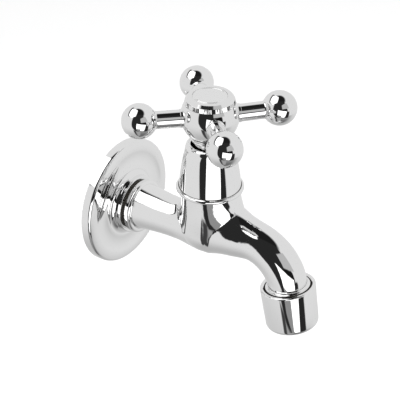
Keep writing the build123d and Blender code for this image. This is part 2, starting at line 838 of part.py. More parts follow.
# Nozzle: a threaded housing over the spout's boss, with a lip that holds the cartridge
thread_end = boss_length + aerator_seal
lip_top = housing_length - lip_height
with BuildPart() as aerator_housing:
    with BuildSketch(nozzle_plane):
        with BuildLine():
            Polyline(
                (boss_r, rim_chamfer),
                (boss_r + rim_chamfer, 0),
                (housing_r - rim_bevel, 0),
                (housing_r, rim_bevel),
                (housing_low_r, housing_length - housing_round),
            )
            TangentArc(
                (housing_low_r, housing_length - housing_round),
                (housing_low_r - housing_round, housing_length),
                tangent=(0, 1),
            )
            Polyline(
                (housing_low_r - housing_round, housing_length),
                (mouth_lip_r, housing_length - mouth_round),
                (mouth_lip_r, lip_top),
                (cartridge_r + loose_gap, lip_top),
                (cartridge_r + loose_gap, thread_end),
                (boss_r, thread_end),
                (boss_r, rim_chamfer),
            )
        make_face()
    revolve(axis=nozzle_axis)
keep(aerator_housing, "aerator_housing")


def nozzle_ring(top, bottom, inner, outer, name):
    """A ring square to the nozzle's axis, between two depths below its rim."""
    with BuildPart() as ring:
        with BuildSketch(across_spout(top)):
            Circle(outer)
            Circle(inner, mode=Mode.SUBTRACT)
        extrude(amount=bottom - top)
    keep(ring, name)


nozzle_ring(boss_length, thread_end, spout_bore_r + aerator_seal_step, boss_r - loose_gap, "aerator_washer")

# Aerator cartridge with an inner ledge, and what stands in it
grid_low = lip_top - ledge_height
grid_top = grid_low - grid_height
screens_top = grid_top - screen_height - (screens - 1) * screen_pitch
with BuildPart() as aerator_cartridge:
    with BuildSketch(across_spout(thread_end)):
        Circle(cartridge_r)
    extrude(amount=lip_top - thread_end)
    with BuildSketch(across_spout(thread_end)):
        Circle(cup_r)
    extrude(amount=grid_low - thread_end, mode=Mode.SUBTRACT)
    with BuildSketch(across_spout(grid_low)):
        Circle(cup_r - ledge)
    extrude(amount=ledge_height, mode=Mode.SUBTRACT)
keep(aerator_cartridge, "aerator_cartridge")

grid_r = cup_r - loose_gap
all_cells = HexLocations(grid_cell / 2, grid_rings, grid_rings)
cells = [cell for cell in all_cells if cell.position.length < grid_r - ledge - grid_cell / 2]
with BuildPart() as outlet_grid:
    with BuildSketch(across_spout(grid_top)):
        Circle(grid_r)
        with Locations(*cells):
            RegularPolygon((grid_cell - grid_web) / 2, 6, major_radius=False, mode=Mode.SUBTRACT)
    extrude(amount=grid_height)
keep(outlet_grid, "outlet_grid")

with BuildPart() as aerator_screens:
    for screen in range(screens):
        with BuildSketch(across_spout(screens_top + screen * screen_pitch)):
            Circle(cup_r - loose_gap)
        extrude(amount=screen_height)
keep(aerator_screens, "aerator_screens")

with BuildPart() as aerator_diffuser:
    with BuildSketch(across_spout(screens_top - diffuser_height)):
        Circle(cup_r - loose_gap)
        for circle_r, holes in diffuser_circles:
            with PolarLocations(circle_r, holes):
                Circle(diffuser_hole_r, mode=Mode.SUBTRACT)
    extrude(amount=plate_height)
    with BuildSketch(across_spout(screens_top - diffuser_height + plate_height)):
        Circle(cup_r - loose_gap)
        Circle(cup_r - cartridge_wall, mode=Mode.SUBTRACT)
    extrude(amount=diffuser_height - plate_height)
keep(aerator_diffuser, "aerator_diffuser")
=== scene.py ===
"""Builds the looks of a wall-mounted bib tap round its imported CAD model."""

import math

import bmesh
import bpy
import numpy as np
from bpy.props import FloatProperty, FloatVectorProperty, IntProperty, PointerProperty
from bpy.types import Operator, Panel, PropertyGroup
from mathutils import Matrix, Vector


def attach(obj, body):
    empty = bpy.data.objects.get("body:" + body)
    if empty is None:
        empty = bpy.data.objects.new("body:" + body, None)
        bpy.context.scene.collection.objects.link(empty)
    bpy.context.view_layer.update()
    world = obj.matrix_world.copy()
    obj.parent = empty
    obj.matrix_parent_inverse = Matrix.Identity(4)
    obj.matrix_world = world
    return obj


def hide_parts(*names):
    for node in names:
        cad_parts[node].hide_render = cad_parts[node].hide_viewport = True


bl_info = {
    "name": "Bib Tap",
    "version": (1, 0, 0),
    "blender": (4, 5, 0),
    "location": "3D View > Sidebar > Bib Tap",
    "description": "Builds the chrome pieces, finishes and stage of a wall-mounted bib tap",
    "category": "Object",
}

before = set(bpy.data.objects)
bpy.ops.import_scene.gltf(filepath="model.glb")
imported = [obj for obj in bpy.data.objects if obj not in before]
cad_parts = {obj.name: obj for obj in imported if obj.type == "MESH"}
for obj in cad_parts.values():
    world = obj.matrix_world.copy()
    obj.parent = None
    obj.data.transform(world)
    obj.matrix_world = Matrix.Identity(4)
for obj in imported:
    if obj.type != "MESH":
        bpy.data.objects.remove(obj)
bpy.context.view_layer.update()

MM = 0.001
ARM_ANGLES = {
    "arm_back_right": 45,
    "arm_back_left": 135,
    "arm_front_left": 225,
    "arm_front_right": 315,
}


def length(name, millimetres, text):
    """A size that is stored in metres and shown in the scene's unit."""
    return FloatProperty(
        name=name,
        description=text,
        default=millimetres * MM,
        min=0.0,
        precision=5,
        subtype="DISTANCE",
        unit="LENGTH",
    )


def colour(name, rgb, text):
    """A colour that a user can change."""
    return FloatVectorProperty(
        name=name, description=text, default=rgb, size=3, min=0.0, max=1.0, subtype="COLOR"
    )


class BibTapSizes(PropertyGroup):
    valve_distance: length("Valve distance", 51.5, "From the wall to the valve's axis")
    body_top: length("Body top", 23.7, "Height of the rim round the body's top")
    bowl_radius: length("Bowl radius", 13.4, "Radius of the valve bowl")
    bowl_centre: length("Bowl centre", 3.5, "Height of the centre of the bowl's round bottom")
    barrel_end: length("Barrel end", 11.4, "Barrel's radius at the end bead")
    barrel_waist: length("Barrel waist", 9.35, "Barrel's smallest radius")
    belly_radius: length("Belly radius", 12.0, "Radius of the belly below the valve")
    belly_height: length("Belly height", 2.7, "Height of the belly's axis")
    bead_radius: length("Bead radius", 13.0, "Radius of the bead at the barrel's end")
    flange_radius: length("Flange radius", 30.8, "Radius of the wall flange")
    spout_radius: length("Spout radius", 9.1, "Spout's radius beyond its taper")
    spout_bend: length("Spout bend", 20.9, "Radius of the spout's bend, on its centreline")
    nozzle_distance: length("Nozzle distance", 93.8, "From the wall to the nozzle's rim")
    nozzle_drop: length("Nozzle drop", 13.4, "Inlet axis down to the nozzle's rim")
    nozzle_radius: length("Nozzle radius", 12.8, "Radius of the nozzle at its rim")
    nozzle_length: length("Nozzle length", 20.8, "Length of the nozzle")
    shroud_foot: length("Shroud bead", 15.5, "Radius of the bead round the shroud's foot")
    shroud_top: length("Shroud top", 47.6, "Height of the shroud's rolled lip")
    hub_radius: length("Hub radius", 13.0, "Radius of the handle's hub")
    hub_height: length("Hub height", 60.9, "Height of the hub's centre")
    cap_seam: length("Cap seam", 67.4, "Height of the seam below the index cap")
    cap_top: length("Cap top", 70.8, "Height of the index cap's top")
    arm_height: length("Arm height", 60.5, "Height where the arms meet the valve's axis")
    arm_span: length("Arm span", 78.4, "Across two opposite balls")
    ball_radius: length("Ball radius", 7.9, "Radius of the balls")
    rod_radius: length("Rod radius", 3.95, "Radius of the arms' rods")
    nozzle_tilt: FloatProperty(
        name="Nozzle tilt",
        description="How far the nozzle leans from upright",
        default=math.radians(9.7),
        subtype="ANGLE",
    )
    arm_rise: FloatProperty(
        name="Arm rise",
        description="How far the arms rise towards their balls",
        default=math.radians(1.7),
        subtype="ANGLE",
    )
    cap_teeth: IntProperty(
        name="Cap teeth", description="Serrations round the index cap", default=120, min=24
    )


class BibTapFinish(PropertyGroup):
    chrome: colour("Chrome", (0.93, 0.93, 0.93), "Colour of the chrome plate")
    disc: colour("Index disc", (0.95, 0.95, 0.95), "Colour of the disc in the cap")
    brass: colour("Brass", (0.72, 0.53, 0.26), "Colour of the brass inside")
    plastic: colour("Plastic", (0.82, 0.82, 0.80), "Colour of the aerator's plastic")
    tent: FloatProperty(
        name="Tent brightness", description="Brightness of the studio tent", default=0.76
    )


def sizes():
    return bpy.context.scene.bib_tap_sizes


def finish_settings():
    return bpy.context.scene.bib_tap_finish


# Shape helpers


def add_arc(bm, vertex, end, bulge):
    """Sweeps an arc from a vertex to an end point, bulging to the left of the way there."""
    start = Vector((vertex.co.x, vertex.co.z))
    end = Vector(end)
    chord = end - start
    radius = (chord.length_squared / 4 + bulge * bulge) / (2 * bulge)
    left = Vector((-chord.y, chord.x)).normalized()
    centre = (start + end) / 2 - left * (radius - bulge)
    angle = 4 * math.atan(2 * bulge / chord.length)
    steps = max(4, math.ceil(abs(math.degrees(angle)) / 5))
    swept = bmesh.ops.spin(
        bm,
        geom=[vertex],
        cent=(centre.x, 0, centre.y),
        axis=(0, 1, 0),
        angle=angle,
        steps=steps,
    )
    return next(item for item in swept["geom_last"] if isinstance(item, bmesh.types.BMVert))


def draw_outline(corners, closed):
    """Draws half a turned piece from (radius, height) corners, each plain, an arc or rounded."""
    bm = bmesh.new()
    first = last = bm.verts.new((corners[0][0], 0, corners[0][1]))
    rounded = []
    for corner in corners[1:]:
        radius, height, *form = corner
        if form and form[0] == "arc":
            last = add_arc(bm, last, (radius, height), form[1])
            continue
        new = bm.verts.new((radius, 0, height))
        bm.edges.new((last, new))
        last = new
        if form:
            rounded.append((new, form[1]))
    if closed:
        bm.edges.new((last, first))
    for vertex, rounding in rounded:
        bmesh.ops.bevel(
            bm,
            geom=[vertex],
            offset=rounding,
            segments=8,
            profile=0.5,
            affect="VERTICES",
            material=-1,
        )
    return bm


def turn(bm, steps=160):
    """Turns an outline about the Z axis into a closed shape."""
    bmesh.ops.spin(
        bm,
        geom=bm.verts[:] + bm.edges[:],
        cent=(0, 0, 0),
        axis=(0, 0, 1),
        angle=math.tau,
        steps=steps,
        use_merge=True,
    )
    bmesh.ops.remove_doubles(bm, verts=bm.verts, dist=2e-6)
    bmesh.ops.recalc_face_normals(bm, faces=bm.faces)
    return bm


def turned(corners, closed=True, steps=160):
    """A piece turned about the Z axis."""
    return turn(draw_outline(corners, closed), steps)


THREAD_RADIUS = 10.4775 * MM
THREAD_CORE = THREAD_RADIUS - 1.16 * MM
THREAD_PITCH = 1.814 * MM


def thread_ridge(start, turns, steps=64):
    """The supply thread's ridge, wound as a helix about the Z axis, its foot inside the core."""
    bm = bmesh.new()
    foot = THREAD_CORE - 0.1 * MM
    # Each corner's radius, and its place along the axis as a share of the pitch
    profile = ((foot, -0.44), (THREAD_RADIUS, -0.07), (THREAD_RADIUS, 0.07), (foot, 0.44))
    bm.faces.new(
        [bm.verts.new((radius, 0, start + share * THREAD_PITCH)) for radius, share in profile]
    )
    bmesh.ops.spin(
        bm,
        geom=bm.verts[:] + bm.edges[:] + bm.faces[:],
        cent=(0, 0, 0),
        axis=(0, 0, 1),
        dvec=(0, 0, THREAD_PITCH / steps),
        angle=math.tau * turns,
        steps=steps * turns,
    )
    bmesh.ops.recalc_face_normals(bm, faces=bm.faces)
    return bm


def placed_mesh(name, bm, place):
    """Moves a shape to its place and makes it a mesh."""
    bmesh.ops.transform(bm, matrix=place, verts=bm.verts)
    mesh = bpy.data.meshes.new(name)
    bm.to_mesh(mesh)
    bm.free()
    return mesh


def make_piece(name, bm, place, body, nodes, sharp=32):
    """Puts a finished shape in the scene, on the body that it moves with, for its CAD nodes."""
    mesh = placed_mesh(name, bm, place)
    mesh.shade_smooth()
    mesh.set_sharp_from_angle(angle=math.radians(sharp))
    piece = bpy.data.objects.new(name, mesh)
    bpy.context.scene.collection.objects.link(piece)
    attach(piece, body)
    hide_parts(*nodes)
    return piece


def on_valve():
    """Heights above the inlet's axis, on the valve's axis."""
    return Matrix.Translation((0, -sizes().valve_distance, 0))


def on_inlet():
    """The outline's axis lies along the inlet, its heights pointing at the wall."""
    return Matrix.Rotation(math.radians(-90), 4, "X")


def on_nozzle():
    """The outline's axis lies along the nozzle, its heights pointing up it from the rim."""
    s = sizes()
    centre = Matrix.Translation((0, -s.nozzle_distance, -s.nozzle_drop))
    return centre @ Matrix.Rotation(-s.nozzle_tilt, 4, "X")


def on_arm(angle):
    """The outline's axis lies along an arm, its heights measured out from the valve's axis."""
    s = sizes()
    centre = Matrix.Translation((0, -s.valve_distance, s.arm_height))
    lean = Matrix.Rotation(math.radians(90) - s.arm_rise, 4, "Y")
    return centre @ Matrix.Rotation(math.radians(angle), 4, "Z") @ lean


# Node helpers


class Graph:
    """Adds shader nodes to a tree in few words."""

    def __init__(self, tree):
        self.tree = tree

    def node(self, kind, **settings):
        made = self.tree.nodes.new(kind)
        for key, value in settings.items():
            setattr(made, key, value)
        return made

    def link(self, source, target):
        if isinstance(source, (int, float, tuple, list)):
            target.default_value = source
        else:
            self.tree.links.new(source, target)

    def math(self, operation, first, second=0.0, third=0.0):
        made = self.node("ShaderNodeMath", operation=operation)
        for value, socket in zip((first, second, third), made.inputs):
            self.link(value, socket)
        return made.outputs[0]

    def vector(self, operation, first, second=(0, 0, 0)):
        made = self.node("ShaderNodeVectorMath", operation=operation)
        self.link(first, made.inputs[0])
        self.link(second, made.inputs[1])
        return made.outputs["Vector"]

    def dot(self, first, second):
        made = self.node("ShaderNodeVectorMath", operation="DOT_PRODUCT")
        self.link(first, made.inputs[0])
        self.link(second, made.inputs[1])
        return made.outputs["Value"]

    def mix(self, factor, first, second):
        made = self.node("ShaderNodeMix", data_type="RGBA")
        self.link(factor, made.inputs["Factor"])
        self.link(first, made.inputs[6])
        self.link(second, made.inputs[7])
        return made.outputs[2]

    def range(self, value, low, high, out_low=0.0, out_high=1.0):
        made = self.node("ShaderNodeMapRange", interpolation_type="SMOOTHSTEP")
        for source, socket in zip((value, low, high, out_low, out_high), made.inputs):
            self.link(source, socket)
        return made.outputs[0]

    def noise(self, vector, scale, detail=2.0, roughness=0.5):
        made = self.node("ShaderNodeTexNoise")
        self.link(vector, made.inputs["Vector"])
        self.link(scale, made.inputs["Scale"])
        self.link(detail, made.inputs["Detail"])
        self.link(roughness, made.inputs["Roughness"])
        return made.outputs["Fac"]

    def bump(self, strength, distance, height, normal=None):
        made = self.node("ShaderNodeBump")
        self.link(strength, made.inputs["Strength"])
        self.link(distance, made.inputs["Distance"])
        self.link(height, made.inputs["Height"])
        if normal is not None:
            self.link(normal, made.inputs["Normal"])
        return made.outputs[0]


SURFACE_OUTPUTS = (
    ("Colour", "NodeSocketColor", "Base Color"),
    ("Roughness", "NodeSocketFloat", "Roughness"),
    ("Normal", "NodeSocketVector", "Normal"),
)


def new_group(name, inputs):
    """A shader node group that gives a surface, and its graph, inputs and outputs."""
    tree = bpy.data.node_groups.new(name, "ShaderNodeTree")
    for title, kind, default in inputs:
        socket = tree.interface.new_socket(title, in_out="INPUT", socket_type=kind)
        socket.default_value = default
    for title, kind, _ in SURFACE_OUTPUTS:
        tree.interface.new_socket(title, in_out="OUTPUT", socket_type=kind)
    graph = Graph(tree)
    return graph, graph.node("NodeGroupInput").outputs, graph.node("NodeGroupOutput").inputs


def metal_group():
    """Polished or worked metal: slow waviness, haze and fine pits."""
    name = "metal_surface"
    if name in bpy.data.node_groups:
        return bpy.data.node_groups[name]
    graph, given, out = new_group(
        name,
        [
            ("Colour", "NodeSocketColor", (0.9, 0.9, 0.9, 1)),
            ("Roughness", "NodeSocketFloat", 0.05),
            ("Haze", "NodeSocketFloat", 0.03),
            ("Waviness", "NodeSocketFloat", 0.02),
            ("Pits", "NodeSocketFloat", 0.02),
        ],
    )
    place = graph.node("ShaderNodeTexCoord").outputs["Object"]
    slow = graph.noise(place, 150.0)
    haze = graph.noise(place, 260.0, detail=3.0, roughness=0.6)
    pits = graph.noise(place, 2600.0, detail=1.0)
    specks = graph.range(pits, 0.66, 0.78)
    blotch = graph.range(haze, 0.45, 0.75)
    speck_colour = (0.45, 0.45, 0.46, 1)
    speck_share = graph.math("MULTIPLY", specks, 0.25)
    graph.link(graph.mix(speck_share, given["Colour"], speck_colour), out["Colour"])
    rough = graph.math("MULTIPLY_ADD", blotch, given["Haze"], given["Roughness"])
    graph.link(graph.math("MULTIPLY_ADD", specks, 0.12, rough), out["Roughness"])
    wave = graph.bump(given["Waviness"], 0.002, slow)
    graph.link(graph.bump(given["Pits"], 0.0002, pits, wave), out["Normal"])
    return graph.tree


def grain_group():
    """Moulded rubber, fibre or plastic: mottled colour, grain and a fine bump."""
    name = "moulded_grain"
    if name in bpy.data.node_groups:
        return bpy.data.node_groups[name]
    graph, given, out = new_group(
        name,
        [
            ("Colour", "NodeSocketColor", (0.5, 0.5, 0.5, 1)),
            ("Mottle", "NodeSocketFloat", 0.2),
            ("Roughness", "NodeSocketFloat", 0.5),
            ("Grain", "NodeSocketFloat", 0.1),
        ],
    )
    place = graph.node("ShaderNodeTexCoord").outputs["Object"]
    cloud = graph.noise(place, 300.0, detail=3.0, roughness=0.6)
    grain = graph.noise(place, 3500.0)
    shade = graph.math("SUBTRACT", 1.0, graph.math("MULTIPLY", cloud, given["Mottle"]))
    graph.link(graph.vector("MULTIPLY", given["Colour"], shade), out["Colour"])
    offset = graph.math("SUBTRACT", grain, 0.5)
    graph.link(graph.math("MULTIPLY_ADD", offset, 0.3, given["Roughness"]), out["Roughness"])
    graph.link(graph.bump(given["Grain"], 0.0003, grain), out["Normal"])
    return graph.tree


def surface_material(name, group, rgb, metallic, values):
    """A material whose colour, roughness and normal come from a surface group."""
    made = bpy.data.materials.new(name)
    made.use_nodes = True
    graph = Graph(made.node_tree)
    shader = made.node_tree.nodes["Principled BSDF"]
    shader.inputs["Metallic"].default_value = metallic
    surface = graph.node("ShaderNodeGroup", node_tree=group)
    surface.inputs["Colour"].default_value = (*rgb, 1)
    for title, value in values.items():
        surface.inputs[title].default_value = value
    for title, _, socket in SURFACE_OUTPUTS:
        graph.link(surface.outputs[title], shader.inputs[socket])
    return made


def metal(name, rgb, roughness, haze, waviness=0.0, pits=0.0, metallic=1.0):
    """A metal on the metal_surface group."""
    values = {"Roughness": roughness, "Haze": haze, "Waviness": waviness, "Pits": pits}
    return surface_material(name, metal_group(), rgb, metallic, values)


def moulded(name, rgb, roughness, grain, mottle=0.15):
    """A rubber, fibre or plastic on the moulded_grain group."""
    values = {"Mottle": mottle, "Roughness": roughness, "Grain": grain}
    return surface_material(name, grain_group(), rgb, 0.0, values)


def give(piece, material):
    """Gives a new piece its finish as its only material."""
    piece.data.materials.clear()
    piece.data.materials.append(material)


def plate(piece, name="turned_chrome", waviness=0.0):
    """Gives a new piece its chrome plate."""
    chrome = bpy.data.materials.get(name) or metal(
        name, finish_settings().chrome, roughness=0.03, haze=0.02, waviness=waviness
    )
    give(piece, chrome)


def paint_gap_shade(piece, is_in_gap_shade):
    """Gives the faces that a test picks a near-black finish: painted shade standing for the shadow
    in the gaps between parts.
    """
    name = "painted_gap_shade"
    gap_shade_material = bpy.data.materials.get(name) or metal(
        name, (0.03, 0.027, 0.022), roughness=0.55, haze=0.2, metallic=0.3
    )
    piece.data.materials.append(gap_shade_material)
    for face in piece.data.polygons:
        if is_in_gap_shade(face):
            face.material_index = 1


def give_node(node, material):
    """Gives a CAD node that stays in view its finish."""
    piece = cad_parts[node]
    for holder in piece.material_slots:
        holder.material = material
    if not piece.material_slots:
        piece.data.materials.append(material)


# Cast body


BOWL_FLATTENING = 1.1  # how much flatter the bowl's bottom is than a ball
BARREL_RISE = 0.7 * MM  # from the inlet's axis to the barrel's
BARREL_START = 12.5 * MM  # from the wall to where the barrel has its end radius
BARREL_WAIST = 36 * MM  # from the wall to where it is narrowest
BELLY_LENGTH = 4 * MM  # from the valve's axis to where the belly starts to narrow
BELLY_RUN = 15 * MM  # from the valve's axis to where the spout's axis is level
SPOUT_TAPER = 26 * MM  # the length over which the belly narrows to the spout


def bend_centre(s):
    """The centre of the spout's bend: how far from the wall, and its height."""
    out = s.nozzle_distance - s.spout_bend * math.cos(s.nozzle_tilt)
    return out, -s.nozzle_drop - s.spout_bend * math.sin(s.nozzle_tilt)


def bend_angle(s):
    """How far the spout turns, from level to the nozzle's lean."""
    return math.pi / 2 - s.nozzle_tilt


def bowl_distance(points, s):
    """Distance from the valve bowl, an upright round column whose bottom is inside the belly."""
    x, y, z = points.T
    drop = np.minimum(z - s.bowl_centre, 0) * BOWL_FLATTENING
    return np.sqrt(x**2 + (y + s.valve_distance) ** 2 + drop**2) - s.bowl_radius


def ease(share):
    """A smooth way from 0 to 1."""
    share = np.clip(share, 0, 1)
    return share**2 * (3 - 2 * share)


def barrel_distance(points, s):
    """Distance from the barrel, which narrows to its waist and swells into the belly."""
    x, y, z = points.T
    out = -y
    flare = np.maximum(BARREL_WAIST - out, 0) / (BARREL_WAIST - BARREL_START)
    swell = ease((out - BARREL_WAIST) / (s.valve_distance - BARREL_WAIST))
    radius = s.barrel_waist + (s.barrel_end - s.barrel_waist) * flare**2
    radius += (s.belly_radius - s.barrel_waist) * swell
    height = BARREL_RISE + (s.belly_height - BARREL_RISE) * swell
    return np.sqrt(x**2 + (z - height) ** 2) - radius


def spout_distance(points, s):
    """Distance from the spout: a level run, a bend, and a straight end."""
    x, y, z = points.T
    bend_out, bend_z = bend_centre(s)
    top_z = bend_z + s.spout_bend
    out = -y
    run = bend_out - s.valve_distance
    # Level run, which starts lower, in the belly
    along_run = np.clip(out - s.valve_distance, 0, run)
    run_z = top_z - (top_z - s.belly_height) * (1 - ease(along_run / BELLY_RUN))
    run_gap = np.sqrt(x**2 + (z - run_z) ** 2 + (out - s.valve_distance - along_run) ** 2)
    # Bend
    turn_angle = np.clip(np.arctan2(out - bend_out, z - bend_z), 0, bend_angle(s))
    centre_out = bend_out + s.spout_bend * np.sin(turn_angle)
    centre_z = bend_z + s.spout_bend * np.cos(turn_angle)
    bend_gap = np.sqrt(x**2 + (out - centre_out) ** 2 + (z - centre_z) ** 2)
    # Straight end, down the nozzle's axis
    down_out, down_z = math.sin(s.nozzle_tilt), -math.cos(s.nozzle_tilt)
    end = (out - s.nozzle_distance) * down_out + (z + s.nozzle_drop) * down_z
    end = np.maximum(end, 0)
    end_gap = np.sqrt(
        x**2
        + (out - s.nozzle_distance - end * down_out) ** 2
        + (z + s.nozzle_drop - end * down_z) ** 2
    )
    gap = np.minimum(np.minimum(run_gap, bend_gap), end_gap)
    along = np.where(run_gap <= bend_gap, along_run, run + turn_angle * s.spout_bend)
    share = 1 - np.clip((along - BELLY_LENGTH) / SPOUT_TAPER, 0, 1)
    return gap - (s.spout_radius + (s.belly_radius - s.spout_radius) * share**2)


def run_distance(points, s):
    """Distance from the barrel and spout, which are one tube that swells below the valve."""
    behind = -points[:, 1] < s.valve_distance
    return np.where(behind, barrel_distance(points, s), spout_distance(points, s))


def with_cove(first, second, facing, cove):
    """Joins two distances with a soft cove, which fades where the two surfaces face one way."""
    width = COVE_WIDTH * cove
    overlap = np.maximum(width - np.abs(first - second), 0)
    return np.minimum(first, second) - (1 - facing) * overlap**2 / (4 * width)


def slope_of(distance, points, s):
    """The way in which a distance grows, at each point."""
    step = 0.02 * MM
    parts = []
    for axis in np.eye(3) * step:
        parts.append((distance(points + axis, s) - distance(points - axis, s)) / (2 * step))
    return np.stack(parts, axis=1)


def facing_of(first, second):
    """The cosine of the angle between two ways."""
    size = np.linalg.norm(first, axis=1) * np.linalg.norm(second, axis=1)
    return (first * second).sum(1) / np.maximum(size, 1e-6)


SPOUT_COVE = 12.5 * MM
BARREL_COVE = 5 * MM
COVE_CHANGE = 7 * MM  # before and behind the valve's axis, over which one cove becomes the other
COVE_WIDTH = 1.17  # a cove's reach along each surface, for its radius


def body_distance(points, s):
    """Distance from the whole casting, with a cove where the bowl stands on the tube."""
    bowl = bowl_distance(points, s)
    run = run_distance(points, s)
    facing = facing_of(slope_of(bowl_distance, points, s), slope_of(run_distance, points, s))
    ahead = -points[:, 1] - s.valve_distance
    change = ease((ahead + COVE_CHANGE) / (2 * COVE_CHANGE))
    cove = BARREL_COVE + (SPOUT_COVE - BARREL_COVE) * change
    return with_cove(bowl, run, facing, cove)


def settle(bm, s, rounds):
    """Moves the vertices onto the casting's blended surface."""
    points = np.array([vertex.co for vertex in bm.verts])
    for _ in range(rounds):
        gap = body_distance(points, s)
        way = slope_of(body_distance, points, s)
        length_squared = np.maximum((way**2).sum(1), 0.25)
        points -= way * (gap / length_squared)[:, None]
    for vertex, point in zip(bm.verts, points):
        vertex.co = point


ROUGH_SEGMENTS = 48
TOP_SPARE = 3 * MM  # cut off again at the body's top
BEND_SPARE = math.radians(12)  # cut off again at the spout's end


def add_tube(bm, start, end, start_radius, end_radius):
    """Adds a closed, tapered tube from one point to another."""
    start, end = Vector(start), Vector(end)
    way = end - start
    lean = way.to_track_quat("Z", "Y").to_matrix().to_4x4()
    bmesh.ops.create_cone(
        bm,
        cap_ends=True,
        segments=ROUGH_SEGMENTS,
        radius1=start_radius,
        radius2=end_radius,
        depth=way.length,
        matrix=Matrix.Translation((start + end) / 2) @ lean,
    )


def rough_casting(s):
    """Overlapping closed shapes in the places of bowl, barrel and spout."""
    bm = bmesh.new()
    axis_y = -s.valve_distance
    bowl = (0, axis_y, s.bowl_centre)
    belly = (0, axis_y, s.belly_height)
    waist = (0, -BARREL_WAIST, BARREL_RISE)
    barrel_end = (0, -7 * MM, BARREL_RISE)
    bend_out, bend_z = bend_centre(s)
    crest_z = bend_z + s.spout_bend
    add_tube(bm, bowl, (0, axis_y, s.body_top + TOP_SPARE), s.bowl_radius, s.bowl_radius)
    bmesh.ops.create_uvsphere(
        bm,
        u_segments=ROUGH_SEGMENTS,
        v_segments=ROUGH_SEGMENTS // 2,
        radius=s.bowl_radius,
        matrix=Matrix.Translation(bowl),
    )
    add_tube(bm, belly, waist, s.belly_radius - 1 * MM, s.barrel_waist)
    add_tube(bm, waist, barrel_end, s.barrel_waist, s.barrel_end)
    add_tube(bm, belly, (0, -bend_out, crest_z), s.belly_radius, s.spout_radius)
    crest = Matrix.Translation((0, -bend_out + 1 * MM, crest_z))
    ring = bmesh.ops.create_circle(
        bm,
        cap_ends=True,
        segments=ROUGH_SEGMENTS,
        radius=s.spout_radius,
        matrix=crest @ Matrix.Rotation(math.radians(90), 4, "X"),
    )
    bmesh.ops.spin(
        bm,
        geom=[ring["verts"][0].link_faces[0]],
        cent=(0, -bend_out, bend_z),
        axis=(1, 0, 0),
        angle=bend_angle(s) + BEND_SPARE,
        steps=24,
    )
    bmesh.ops.recalc_face_normals(bm, faces=bm.faces)
    return bm


def modified(context, mesh, kind, **settings):
    """A new mesh that takes a mesh's place, as one modifier leaves it."""
    holder = bpy.data.objects.new(mesh.name, mesh)
    context.scene.collection.objects.link(holder)
    modifier = holder.modifiers.new(kind, kind)
    for key, value in settings.items():
        setattr(modifier, key, value)
    seen = holder.evaluated_get(context.evaluated_depsgraph_get())
    made = bpy.data.meshes.new_from_object(seen)
    bpy.data.objects.remove(holder)
    bpy.data.meshes.remove(mesh)
    return made


def even_casting(context, s):
    """The rough casting with even faces, settled onto the blended surface."""
    rough = placed_mesh("rough", rough_casting(s), Matrix.Identity(4))
    even = modified(context, rough, "REMESH", mode="VOXEL", voxel_size=0.75 * MM)
    bm = bmesh.new()
    bm.from_mesh(even)
    bpy.data.meshes.remove(even)
    for _ in range(3):
        bmesh.ops.smooth_vert(
            bm, verts=bm.verts, factor=0.5, use_axis_x=True, use_axis_y=True, use_axis_z=True
        )
        settle(bm, s, 1)
    settle(bm, s, 3)
    return bm


def trim(bm, s):
    """Cuts the casting flat at the body's top, inside the bead and at the spout's end."""
    down = Vector((0, -math.sin(s.nozzle_tilt), -math.cos(s.nozzle_tilt)))
    rim = Vector((0, -s.nozzle_distance, -s.nozzle_drop))
    for point, way in (
        ((0, 0, s.body_top), (0, 0, 1)),
        ((0, -12 * MM, 0), (0, 1, 0)),
        (rim + down * 0.5 * MM, down),
    ):
        cut = bmesh.ops.bisect_plane(
            bm,
            geom=bm.verts[:] + bm.edges[:] + bm.faces[:],
            dist=1e-6,
            plane_co=point,
            plane_no=way,
            clear_outer=True,
        )
        edges = [item for item in cut["geom_cut"] if isinstance(item, bmesh.types.BMEdge)]
        bmesh.ops.holes_fill(bm, edges=edges, sides=0)
    bmesh.ops.recalc_face_normals(bm, faces=bm.faces)


def with_chamber(context, solid):
    """Cuts the headwork's seat, its thread's bore, the valve's chamber and the seat's bore."""
    top, floor = 25 * MM, 1.0 * MM
    rim_radius, rim_seat = 12.65 * MM, 22.4 * MM
    thread_radius, thread_end = 10.5 * MM, 12.5 * MM
    chamber_radius, chamber_top, chamber_floor = 9.3 * MM, 12.0 * MM, 7.0 * MM
    lip_radius, lip_top = 6.2 * MM, 8.0 * MM
    seat_radius = 5.0 * MM
    corners = [
        (0, top),
        (rim_radius, top),
        (rim_radius, rim_seat),
        (thread_radius, rim_seat),
        (thread_radius, thread_end),
        (chamber_radius, chamber_top),
        (chamber_radius, chamber_floor),
        (lip_radius, chamber_floor),
        (lip_radius, lip_top),
        (seat_radius, lip_top),
        (seat_radius, floor),
        (0, floor),
    ]
    hollow = placed_mesh("hollow", turned(corners, closed=False, steps=96), on_valve())
    cutter = bpy.data.objects.new("hollow", hollow)
    context.scene.collection.objects.link(cutter)
    faces = len(solid.polygons)
    made = modified(
        context, solid, "BOOLEAN", operation="DIFFERENCE", solver="EXACT", object=cutter
    )
    bpy.data.objects.remove(cutter)
    bpy.data.meshes.remove(hollow)
    if len(made.polygons) <= faces:
        raise RuntimeError("The valve's chamber wasn't cut")
    return made


# Heights along the inlet's axis, where 0 is the wall and minus is out from it
FLANGE_LIP = -9.6 * MM
BEAD_BACK = -11.0 * MM
BEAD_FRONT = -14.2 * MM


